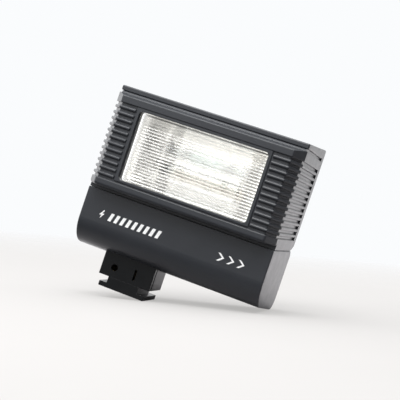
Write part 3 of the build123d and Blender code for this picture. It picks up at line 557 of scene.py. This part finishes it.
def print_door(ink):
    """An arrow and a line under the door's grip."""
    low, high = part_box("battery_door")
    face_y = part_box("lower_case")[1].y - 0.02 * MM
    sheet = Sheet("door_print", "battery_door", ink, ((low.x + high.x) / 2, face_y, high.z), (-1, 0, 0))
    sheet.put(shape([(-1.6, 0.0), (1.6, 0.0), (0.0, -1.9)]), 0.0, -7.2)
    sheet.put(shape(bar(-4.5, 4.5, -0.12, 0.12)), 0.0, -9.8)
    sheet.finish()


def print_everything():
    ink = paint("pale_ink", rgb(0.92, 0.92, 0.91))
    print_front(ink)
    print_plate(ink)
    print_dial(ink)
    print_controls(ink, paint("red_ink", rgb(0.62, 0.04, 0.03)))
    print_door(ink)


def dress_cad_nodes():
    for row in frame["record"]["subparts"]:
        node = NODES[row["node"]]
        node.data.materials.clear()
        node.data.materials.append(MATERIALS[row["material_slot"]])


def make_contact_spring():
    """A copy of the centre contact's spring, attached to the flash body in place of the original."""
    source = NODES["contact_spring"]
    spring = bpy.data.objects.new("contact_coil", source.data.copy())
    bpy.context.scene.collection.objects.link(spring)
    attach(spring, "flash_body")
    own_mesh(spring)
    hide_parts("contact_spring")


# ---- Floor, light and camera ----
def resting_tilt():
    """The foot's right edge, and the tilt of the plane through it and the case's low corner."""
    foot_low, foot_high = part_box("shoe_plate")
    edge_x, edge_z = foot_high.x, foot_low.z
    slopes = [
        math.atan2(v.co.z - edge_z, v.co.x - edge_x)
        for v in NODES["lower_case"].data.vertices if v.co.x > edge_x + 0.01
    ]
    return edge_x, edge_z, min(slopes)


def make_floor():
    """A pale card that melts into the surroundings far from the object and is clear from below."""
    edge_x, edge_z, tilt = resting_tilt()
    mesh = bpy.data.meshes.new("floor")
    size = 4.0
    corners = [(-size, -size, 0), (size, -size, 0), (size, size, 0), (-size, size, 0)]
    mesh.from_pydata(corners, [], [(0, 1, 2, 3)])
    floor = bpy.data.objects.new("floor", mesh)
    bpy.context.scene.collection.objects.link(floor)
    floor.matrix_world = Matrix.Translation((edge_x, 0, edge_z)) @ Matrix.Rotation(-tilt, 4, "Y")
    g = Graph("floor_card")
    seen = g.add("ShaderNodeLightPath").outputs["Is Camera Ray"]
    # in front of the object only the camera sees the card, so the front faces stay dark
    forward = g.split(g.place())["Y"]
    lit = g.mix(g.spread(forward, -0.04, 0.03, 0.10, 1.0), rgb(0, 0, 0), FLOOR_COLOUR)
    seen_tone = g.mix(g.noise(40.0, 3.0), FLOOR_SEEN, scaled(FLOOR_SEEN, 1.04))
    matt = g.add("ShaderNodeBsdfDiffuse", None, Color=g.mix(seen, lit, seen_tone))
    glow = g.add("ShaderNodeEmission", None, Color=FLOOR_GLOW, Strength=seen)
    card = g.add("ShaderNodeAddShader", None, i0=matt.outputs[0], i1=glow.outputs[0])
    far = g.add("ShaderNodeVectorMath", {"operation": "LENGTH"}, i0=g.place()).outputs["Value"]
    fade = g.math("MULTIPLY", seen, g.spread(far, 0.35, 1.6, 0.0, 1.0))
    below = g.add("ShaderNodeNewGeometry").outputs["Backfacing"]
    clear = g.math("MAXIMUM", fade, below)
    blend = g.add("ShaderNodeMixShader", None, i0=clear, i1=card.outputs[0],
                  i2=g.add("ShaderNodeBsdfTransparent").outputs[0])
    g.tree.links.new(blend.outputs[0], g.output.inputs[0])
    mesh.materials.append(g.material)
    return tilt


def make_flag(tilt):
    """A dark card out of view that keeps the right-hand bevel dark, as a studio flag does."""
    mesh = bpy.data.meshes.new("flag")
    near_y, far_y, low_z, high_z, distance = -0.25, 0.12, -0.02, 0.35, 0.24
    corners = [(0, near_y, low_z), (0, far_y, low_z), (0, far_y, high_z), (0, near_y, high_z)]
    mesh.from_pydata(corners, [], [(0, 1, 2, 3)])
    flag = bpy.data.objects.new("flag", mesh)
    bpy.context.scene.collection.objects.link(flag)
    flag.matrix_world = Matrix.Translation((distance, 0, 0)) @ Matrix.Rotation(-tilt, 4, "Y")
    flag.visible_camera = False
    g = Graph("flag_cloth")
    g.surface(Base_Color=rgb(0.14, 0.14, 0.14), Roughness=0.9)
    mesh.materials.append(g.material)


class WorldGraph(Graph):
    """The same wrapper round the world's shader tree."""

    def __init__(self, world):
        world.use_nodes = True
        self.tree = world.node_tree
        self.tree.nodes.clear()
        self.output = self.add("ShaderNodeOutputWorld")

    def lobe(self, direction, outer_deg, inner_deg, strength):
        """Brightness that falls off between two angles from a direction."""
        where = self.add("ShaderNodeTexCoord").outputs["Generated"]
        toward = tuple(Vector(direction).normalized())
        dot = self.add("ShaderNodeVectorMath", {"operation": "DOT_PRODUCT"}, i0=where, i1=toward)
        low, high = math.cos(math.radians(outer_deg)), math.cos(math.radians(inner_deg))
        return self.spread(dot.outputs["Value"], low, high, 0.0, strength)


def make_world(tilt):
    """Soft surroundings: bright behind and overhead, dim in front."""
    world = bpy.data.worlds.new("studio")
    bpy.context.scene.world = world
    g = WorldGraph(world)
    up = (-math.sin(tilt), 0.0, math.cos(tilt))
    total = FRONT_LEVEL
    for direction, outer_deg, inner_deg, strength in (
        ((0, 1, 0), 100, 50, BACK_LEVEL - FRONT_LEVEL),
        ((up[0] - 0.1, -0.35, up[2]), 62, 28, SOFTBOX_LEVEL),
        ((-1.0, 0.6, 0.1), 50, 25, SIDE_LEVEL),
    ):
        total = g.math("ADD", total, g.lobe(direction, outer_deg, inner_deg, strength))
    seen = g.add("ShaderNodeLightPath").outputs["Is Camera Ray"]
    lit = g.add("ShaderNodeBackground", None, Color=rgb(0.985, 0.99, 1.0), Strength=total)
    plain = g.add("ShaderNodeBackground", None, Color=BACKDROP_COLOUR, Strength=1.0)
    blend = g.add("ShaderNodeMixShader", None, i0=seen, i1=lit.outputs[0], i2=plain.outputs[0])
    g.tree.links.new(blend.outputs[0], g.output.inputs[0])


def make_key():
    """A soft light close above the front, so that the head is brighter than the case below it."""
    data = bpy.data.lights.new("key", "AREA")
    data.size = 0.14
    data.energy = KEY_WATTS
    key = bpy.data.objects.new("key", data)
    bpy.context.scene.collection.objects.link(key)
    place = Vector((-0.02, -0.15, 0.25))
    target = Vector((0.015, -0.01, 0.06))
    turn = (target - place).to_track_quat("-Z", "Y").to_matrix().to_4x4()
    key.matrix_world = Matrix.Translation(place) @ turn
    key.visible_camera = False


def make_camera():
    """The camera, turned, pitched and rolled as the constants at the top say."""
    data = bpy.data.cameras.new("camera")
    data.lens = LENS_MM
    data.sensor_width = SENSOR_MM
    data.clip_start = 0.01
    camera = bpy.data.objects.new("camera", data)
    bpy.context.scene.collection.objects.link(camera)
    forward = Vector((
        math.sin(CAMERA_TURN) * math.cos(CAMERA_PITCH),
        math.cos(CAMERA_TURN) * math.cos(CAMERA_PITCH),
        math.sin(CAMERA_PITCH),
    ))
    right = Vector((math.cos(CAMERA_TURN), -math.sin(CAMERA_TURN), 0.0))
    up = right.cross(forward)
    rolled_right = right * math.cos(CAMERA_ROLL) + up * math.sin(CAMERA_ROLL)
    rolled_up = up * math.cos(CAMERA_ROLL) - right * math.sin(CAMERA_ROLL)
    turn = Matrix((rolled_right, rolled_up, -forward)).transposed()
    camera.matrix_world = Matrix.Translation(CAMERA_PLACE) @ turn.to_4x4()
    bpy.context.scene.camera = camera


dress_cad_nodes()
make_contact_spring()
print_everything()
floor_tilt = make_floor()
make_flag(floor_tilt)
make_world(floor_tilt)
make_key()
make_camera()
bpy.context.scene.view_settings.view_transform = "Standard"
